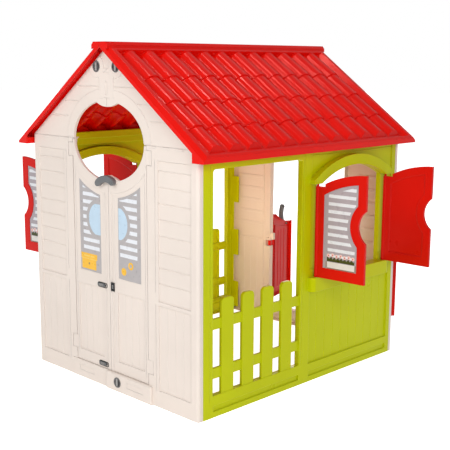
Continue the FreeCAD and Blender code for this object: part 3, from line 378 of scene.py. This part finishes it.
def add_bolt_details():
    """Ribs on both thumb sliders and bars across the keeper."""
    for name in ("upper_bolt", "lower_bolt"):
        low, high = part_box(name)
        z = (low.z + high.z) / 2
        starts = [RIB_FIRST + RIB_STEP * i for i in range(RIBS)]
        ribs = [((x, low.y - RIB_PROUD, z - RIB_HALF),
                 (x + RIB_WIDTH, low.y + RIB_SUNK, z + RIB_HALF)) for x in starts]
        rounded_bars(name + "_ribs", name, LIGHT_GREY, ribs, RIB_ROUNDING)
    low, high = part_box("bolt_keeper")
    left = low.x + KEEPER_MARGIN
    right = high.x - KEEPER_MARGIN
    near, far = KEEPER_BAR_Y
    bars = [((left, low.y + near, z - KEEPER_BAR_HALF), (right, low.y + far, z + KEEPER_BAR_HALF))
            for z in KEEPER_BARS]
    rounded_bars("bolt_keeper_bars", "front_right_door", LIGHT_GREY,
                 bars, KEEPER_ROUNDING)


PLUG_RIM = 0.0037         # width of a plug screw's raised rim
PLUG_DISH = 0.0060        # depth of its dish
THUMB_LEFT = 0.0105       # the thumb bar stands off the middle
THUMB_RIGHT = 0.0035
THUMB_MARGIN = 0.0045     # from the plug's edge to the bar's end
THUMB_TOP = 0.0008        # how far the bar's crown lies behind the rim
THUMB_SUNK = 0.001
THUMB_ROUNDING = 0.0035


def add_plug_details():
    """A black disc of painted shade on the floor and a broad crowned thumb bar in the dish of
    every plug screw.
    """
    for node, count in (("gable_screws", 2), ("sill_screw", 1)):
        low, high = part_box("front_" + node)
        radius = (high.z - low.z) / 2
        z = (high.z + low.z) / 2
        middles = [high.x - radius, low.x + radius][:count]
        floor = low.y + PLUG_DISH
        painted_shade = radius - PLUG_RIM
        reach = radius - THUMB_MARGIN
        bars = [((x - THUMB_LEFT, low.y + THUMB_TOP, z - reach),
                 (x + THUMB_RIGHT, floor + THUMB_SUNK, z + reach)) for x in middles]
        for wall in ("front", "back"):
            def place(spot, wall=wall):
                return Vector(spot) if wall == "front" else half_turn(Vector(spot))

            name = f"{wall}_{node}"
            # Painted shade: a black disc laid on each dish's floor.
            add_print(name + "_well", "house", "painted_shade",
                      [disc(x, z, painted_shade, painted_shade) for x in middles],
                      lambda u, v, out: place((u, floor - out, v)))
            rounded_bars(name + "_bar", "house", LIGHT_GREY,
                         bars, THUMB_ROUNDING, place)


# ---- printed shapes --------------------------------------------------------------------------
# Every outline is a list of (u, v) in metres in the sticker's own plane: u away from the house's
# middle line on a door and away from the hinge on a shutter, v the height over the ground.
THINNEST = 0.001          # narrower bands are left out


def disc(u, v, across, up, steps=40):
    turns = [2 * math.pi * i / steps for i in range(steps)]
    return [(u + across * math.cos(t), v + up * math.sin(t)) for t in turns]


def band(low, high, left, right, rows=8):
    """The outline between two heights whose sides follow left(v) and right(v)."""
    heights = [low + (high - low) * i / rows for i in range(rows + 1)]
    held = [v for v in heights if right(v) - left(v) > THINNEST]
    return [(left(v), v) for v in held] + [(right(v), v) for v in reversed(held)]


def block(u0, u1, v0, v1):
    return [(u0, v0), (u1, v0), (u1, v1), (u0, v1)]


def add_print(name, body, material, outlines, place, layer=0):
    """Thin plates on a face: one colour of a sticker's print, or the black discs of painted shade
    in plug screws' dishes.
    """
    made = bmesh.new()
    for outline in outlines:
        if len(outline) < 3:
            continue
        under = [made.verts.new(place(u, v, layer * PRINT)) for u, v in outline]
        over = [made.verts.new(place(u, v, (layer + 1) * PRINT)) for u, v in outline]
        made.faces.new(under)
        made.faces.new(over)
        for i in range(len(outline)):
            j = (i + 1) % len(outline)
            made.faces.new((under[i], under[j], over[j], over[i]))
    bmesh.ops.recalc_face_normals(made, faces=made.faces)
    mesh = bpy.data.meshes.new(name)
    made.to_mesh(mesh)
    made.free()
    add_piece(name, mesh, body, PRINTS[material])


STRIPES = 9
DOOR_STRIPE_TOP = 0.8017            # middle of the highest stripe
DOOR_STRIPE_STEP = 0.0307
DOOR_STRIPES = [DOOR_STRIPE_TOP - DOOR_STRIPE_STEP * i for i in range(STRIPES)]
DOOR_STRIPE = 0.0150
DOOR_STRIPE_U = (0.064, 0.167)
OVAL_MARGIN = (0.0678, 0.0728)      # from the oval opening to a stripe's end, across and up
PANE_AT = {"right": 0.053, "left": 0.072}
PANE_Z = 0.675
PANE = (0.057, 0.064)
PANE_GAP = 0.016
PANE_INNER = 0.0565       # the pane is cut off here, just inside the sticker's edge
PANE_ROWS = 48
BELL_DISCS = ((0.127, 0.520), (0.085, 0.492))
BELL_R = 0.015
BELL_MIDDLE_R = 0.007
LETTERBOX_LID = (0.081, 0.185, 0.508, 0.531)
LETTERBOX_BODY = (0.088, 0.180, 0.467, 0.507)
LETTERBOX_FOLD = (0.081, 0.185, 0.5070, 0.5105)
LETTERBOX_SLOT = (0.100, 0.168, 0.517, 0.523)
LETTERBOX_LOCK = (0.133, 0.490)
LOCK_R = 0.0045


def print_door(side):
    hand = "right" if side > 0 else "left"
    body = f"front_{hand}_door"
    middle = PANE_AT[hand]

    def stripe_start(v):
        """A stripe starts outside the round window pane and below the oval's rim."""
        start = DOOR_STRIPE_U[0]
        a, b = PANE[0] + PANE_GAP, PANE[1] + PANE_GAP
        if abs(v - PANE_Z) < b:
            start = max(start, middle + a * math.sqrt(1 - ((v - PANE_Z) / b) ** 2))
        a, b = OVAL_A + OVAL_MARGIN[0], OVAL_B + OVAL_MARGIN[1]
        if SEAM_Z - v < b:
            start = max(start, a * math.sqrt(1 - ((SEAM_Z - v) / b) ** 2))
        return start

    def stripe_end(_):
        return DOOR_STRIPE_U[1]

    def pane_half(v):
        return PANE[0] * math.sqrt(max(0.0, 1 - ((v - PANE_Z) / PANE[1]) ** 2))

    def pane_start(v):
        return max(PANE_INNER, middle - pane_half(v))

    def pane_end(v):
        return middle + pane_half(v)

    def place(u, v, out):
        return Vector((side * u, DOOR_FACE - out, v))

    def add(part, material, outlines, layer=0):
        add_print(f"{body}_print_{part}", body, material, outlines, place, layer)

    half = DOOR_STRIPE / 2
    add("shutters", "white", [band(v - half, v + half, stripe_start, stripe_end)
                              for v in DOOR_STRIPES])
    add("pane", "sky", [band(PANE_Z - PANE[1], PANE_Z + PANE[1], pane_start, pane_end, PANE_ROWS)])
    if side > 0:
        add("bell", "yellow", [disc(u, v, BELL_R, BELL_R) for u, v in BELL_DISCS])
        u, v = BELL_DISCS[0]
        add("bell_middle", "grey", [disc(u, v, BELL_MIDDLE_R, BELL_MIDDLE_R)], 1)
    else:
        add("letterbox", "yellow", [block(*LETTERBOX_LID), block(*LETTERBOX_BODY)])
        add("letterbox_band", "pale_yellow", [block(*LETTERBOX_FOLD), block(*LETTERBOX_SLOT)], 1)
        add("letterbox_lock", "timber", [disc(*LETTERBOX_LOCK, LOCK_R, LOCK_R, 20)], 1)


SHUTTER_STRIPE_TOP = 0.8050         # middle of the highest stripe
SHUTTER_STRIPE_STEP = 0.0305
SHUTTER_STRIPES = [SHUTTER_STRIPE_TOP - SHUTTER_STRIPE_STEP * i for i in range(STRIPES)]
SHUTTER_STRIPE = 0.0130
SHUTTER_U = (0.054, 0.180)          # the print's edges beside the hinge and at the free side
TOP_EDGE_AT = (0.042, 0.7756)       # a point of the sloping top edge
TOP_EDGE_SLOPE = 0.307
NOTCH_AT = (0.268, 0.657)
NOTCH_R = 0.125
BOX_FACE = (0.489, 0.512)
BOX_END_LEFT = (0.047, 0.0515, 0.487, 0.513)
BOX_END_RIGHT = (0.1825, 0.187, 0.487, 0.513)
BOX_FOOT = (0.4845, 0.4875)
LEAVES_U = (0.052, 0.180)
LEAVES_Z = (0.514, 0.529)           # foot and mean height of the leaves
LEAF_RISE = 0.006
LEAF_TURN = 2.1                     # radians from one leaf point to the next
LEAF_STEPS = 24
FLOWERS = 7
FLOWER_FIRST = 0.060
FLOWER_STEP = 0.0187
FLOWER_LIFT = 0.003                 # every other flower stands higher
FLOWER = (0.5375, 0.0085, 0.0075)   # height, half width, half height
PETAL = (0.5400, 0.0052, 0.0048)
PETAL_SHIFT = 0.0092
BUD = (0.5370, 0.0024, 0.0024)


def shutter_stripe_start(v):
    """A stripe starts beside the hinge edge, or below the sloping top edge."""
    return max(SHUTTER_U[0], TOP_EDGE_AT[0] + (v - TOP_EDGE_AT[1]) / TOP_EDGE_SLOPE)


def shutter_stripe_end(v):
    """It ends at the print's free edge, or at the round hand hole."""
    if abs(v - NOTCH_AT[1]) >= NOTCH_R:
        return SHUTTER_U[1]
    return min(SHUTTER_U[1], NOTCH_AT[0] - math.sqrt(NOTCH_R ** 2 - (v - NOTCH_AT[1]) ** 2))


def print_shutter(wall, which):
    """The print on the right wall's front or rear shutter, or on the left one half a turn away."""
    ends = {"right": which, "left": "rear" if which == "front" else "front"}
    body = f"{wall}_{ends[wall]}_shutter"
    hand = 1 if which == "front" else -1
    turn = Matrix.Rotation(-hand * SHUTTER_OPEN[which], 3, "Z")
    pivot = Vector((WINDOW_MID - hand * SHUTTER_PIVOT, SHUTTER_AXIS, 0))

    def place(u, v, out):
        along = turn @ Vector((hand * u, SHUTTER_FACE - out, v)) + pivot
        spot = Vector((HALF_WIDTH - along.y, along.x, along.z))
        return half_turn(spot) if wall == "left" else spot

    def add(part, material, outlines, layer=0):
        add_print(f"{body}_print_{part}", body, material, outlines, place, layer)

    half = SHUTTER_STRIPE / 2
    add("slats", "white", [band(v - half, v + half, shutter_stripe_start, shutter_stripe_end)
                           for v in SHUTTER_STRIPES])
    add("flower_box", "box", [block(*SHUTTER_U, *BOX_FACE)])
    add("box_ends", "timber", [block(*BOX_END_LEFT), block(*BOX_END_RIGHT),
                               block(*SHUTTER_U, *BOX_FOOT)])
    length = LEAVES_U[1] - LEAVES_U[0]
    leaves = [(LEAVES_U[0] + length * i / LEAF_STEPS,
               LEAVES_Z[1] + LEAF_RISE * math.sin(i * LEAF_TURN)) for i in range(LEAF_STEPS + 1)]
    foot = [(LEAVES_U[0], LEAVES_Z[0]), (LEAVES_U[1], LEAVES_Z[0])]
    add("leaves", "leaf", [foot + leaves[::-1]])
    row = [FLOWER_FIRST + FLOWER_STEP * i for i in range(FLOWERS)]
    z, across, up = FLOWER
    add("flowers", "pink", [disc(u, z + FLOWER_LIFT * (i % 2), across, up, 24)
                            for i, u in enumerate(row)], 1)
    z, across, up = PETAL
    add("petals", "white", [disc(u + PETAL_SHIFT, z - FLOWER_LIFT * (i % 2), across, up, 20)
                            for i, u in enumerate(row[:-1])], 2)
    z, across, up = BUD
    add("buds", "rose", [disc(u, z + FLOWER_LIFT * (i % 2), across, up, 14)
                         for i, u in enumerate(row)], 2)


# ---- studio ----------------------------------------------------------------------------------
def add_camera():
    a, e, r = CAMERA_AZIMUTH, CAMERA_ELEVATION, CAMERA_ROLL
    back = Vector((math.sin(a) * math.cos(e), -math.cos(a) * math.cos(e), math.sin(e)))
    right = Vector((math.cos(a), math.sin(a), 0))
    up = back.cross(right)
    x = right * math.cos(r) + up * math.sin(r)
    y = up * math.cos(r) - right * math.sin(r)
    data = bpy.data.cameras.new("camera")
    data.lens = CAMERA_LENS
    data.sensor_width = CAMERA_SENSOR
    data.clip_end = CAMERA_FAR
    camera = bpy.data.objects.new("camera", data)
    bpy.context.scene.collection.objects.link(camera)
    turned = Matrix((x, y, back)).transposed().to_4x4()
    camera.matrix_world = Matrix.Translation(CAMERA_AT) @ turned
    bpy.context.scene.camera = camera


def area_light(name, at, aim, size, power, colour, spread):
    data = bpy.data.lights.new(name, "AREA")
    data.shape = "DISK"
    data.size = size
    data.energy = power
    data.color = colour
    data.spread = math.radians(spread)
    light = bpy.data.objects.new(name, data)
    light.location = at
    light.rotation_euler = (Vector(aim) - Vector(at)).to_track_quat("-Z", "Y").to_euler()
    light.visible_camera = False
    bpy.context.scene.collection.objects.link(light)


def add_studio():
    """Even light from all round with a white backdrop for the camera, and the lamps."""
    world = bpy.data.worlds.new("studio")
    world.use_nodes = True
    tree = world.node_tree
    soft = tree.nodes["Background"]
    soft.inputs["Color"].default_value = WHITE
    soft.inputs["Strength"].default_value = STUDIO_FILL
    backdrop = tree.nodes.new("ShaderNodeBackground")
    mix = tree.nodes.new("ShaderNodeMixShader")
    rays = tree.nodes.new("ShaderNodeLightPath")
    tree.links.new(rays.outputs["Is Camera Ray"], mix.inputs["Fac"])
    tree.links.new(soft.outputs["Background"], mix.inputs[1])
    tree.links.new(backdrop.outputs["Background"], mix.inputs[2])
    backdrop.inputs["Color"].default_value = WHITE
    tree.links.new(mix.outputs["Shader"], tree.nodes["World Output"].inputs["Surface"])
    bpy.context.scene.world = world
    for lamp in LIGHTS:
        area_light(*lamp)
    bpy.context.scene.view_settings.view_transform = "Standard"


def add_floor():
    mesh = bpy.data.meshes.new("floor")
    made = bmesh.new()
    bmesh.ops.create_grid(made, x_segments=2, y_segments=2, size=FLOOR_HALF)
    made.to_mesh(mesh)
    made.free()
    floor = bpy.data.objects.new("floor", mesh)
    bpy.context.scene.collection.objects.link(floor)
    material, tree, shader = nodes_of("studio_floor")
    shader.inputs["Base Color"].default_value = even_grey(FLOOR_GREY)
    shader.inputs["Roughness"].default_value = FLOOR_ROUGH
    shader.inputs["Specular IOR Level"].default_value = 0.0
    shader.inputs["Emission Color"].default_value = WHITE
    rays = tree.nodes.new("ShaderNodeLightPath")
    seen = tree.nodes.new("ShaderNodeMapRange")
    seen.inputs["To Min"].default_value = FLOOR_BOUNCE
    seen.inputs["To Max"].default_value = FLOOR_GLOW
    tree.links.new(rays.outputs["Is Camera Ray"], seen.inputs["Value"])
    tree.links.new(seen.outputs["Result"], shader.inputs["Emission Strength"])
    mesh.materials.append(material)


add_camera()
finish_cad_nodes()
add_bolt_details()
add_plug_details()
for side in (1, -1):
    print_door(side)
for wall in ("right", "left"):
    for which in ("front", "rear"):
        print_shutter(wall, which)
add_studio()
add_floor()
